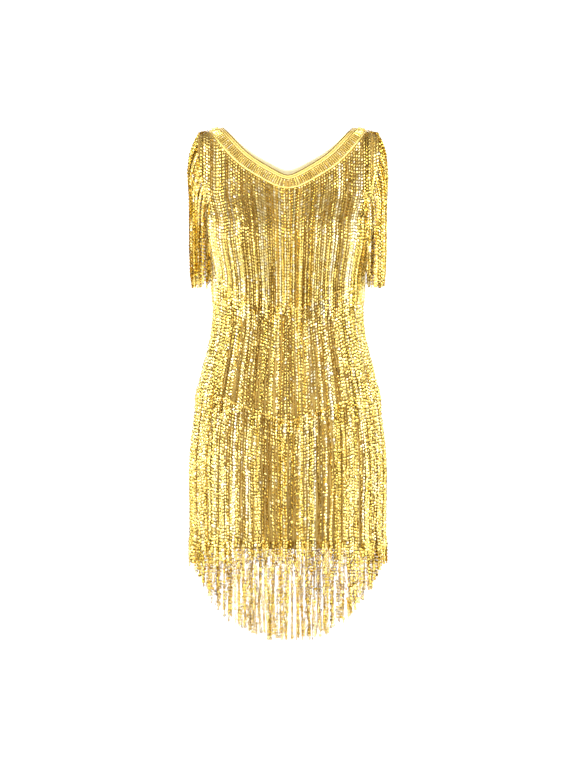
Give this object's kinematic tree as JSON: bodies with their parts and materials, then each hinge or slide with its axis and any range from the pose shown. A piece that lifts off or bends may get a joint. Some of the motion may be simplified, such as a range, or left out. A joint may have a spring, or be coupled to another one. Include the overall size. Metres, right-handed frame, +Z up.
{
  "type": "flapper dress",
  "caption": "Sleeveless V-neck sheath dress covered in tiers of gold sequin strings, with fringed armholes and a fringed hem, filled out and hollow.",
  "frame": {"origin": "midway between the two neck points, at the height of the shoulder seams there, where the wearer's shoulders hold the dress up", "axes": "+Z up, front of the dress towards -Y, +X to the wearer's left"},
  "size_m": [0.3546, 0.2437, 0.9175],
  "materials": {
    "base_cloth": "matt stretch mesh, seen inside and between the strings",
    "satin_binding": "satin sheen",
    "sequin_trim": "metallised gold, bright",
    "stitched_braid": "bright metallic thread",
    "sequin_strings": "metallised gold, mirror bright"
  },
  "bodies": {
    "root": {"front_panel": "base_cloth", "front_neck_binding": "satin_binding", "front_neck_trim": "sequin_trim", "front_neck_braid": "stitched_braid", "front_waist_braid": "stitched_braid", "front_hip_braid": "stitched_braid", "front_hem_fringe": "sequin_strings", "back_panel": "base_cloth", "back_neck_binding": "satin_binding", "back_neck_trim": "sequin_trim", "back_neck_braid": "stitched_braid", "back_waist_braid": "stitched_braid", "back_hip_braid": "stitched_braid", "back_hem_fringe": "sequin_strings", "left_sleeve_fringe": "sequin_strings", "right_sleeve_fringe": "sequin_strings"}
  },
  "joints": []
}
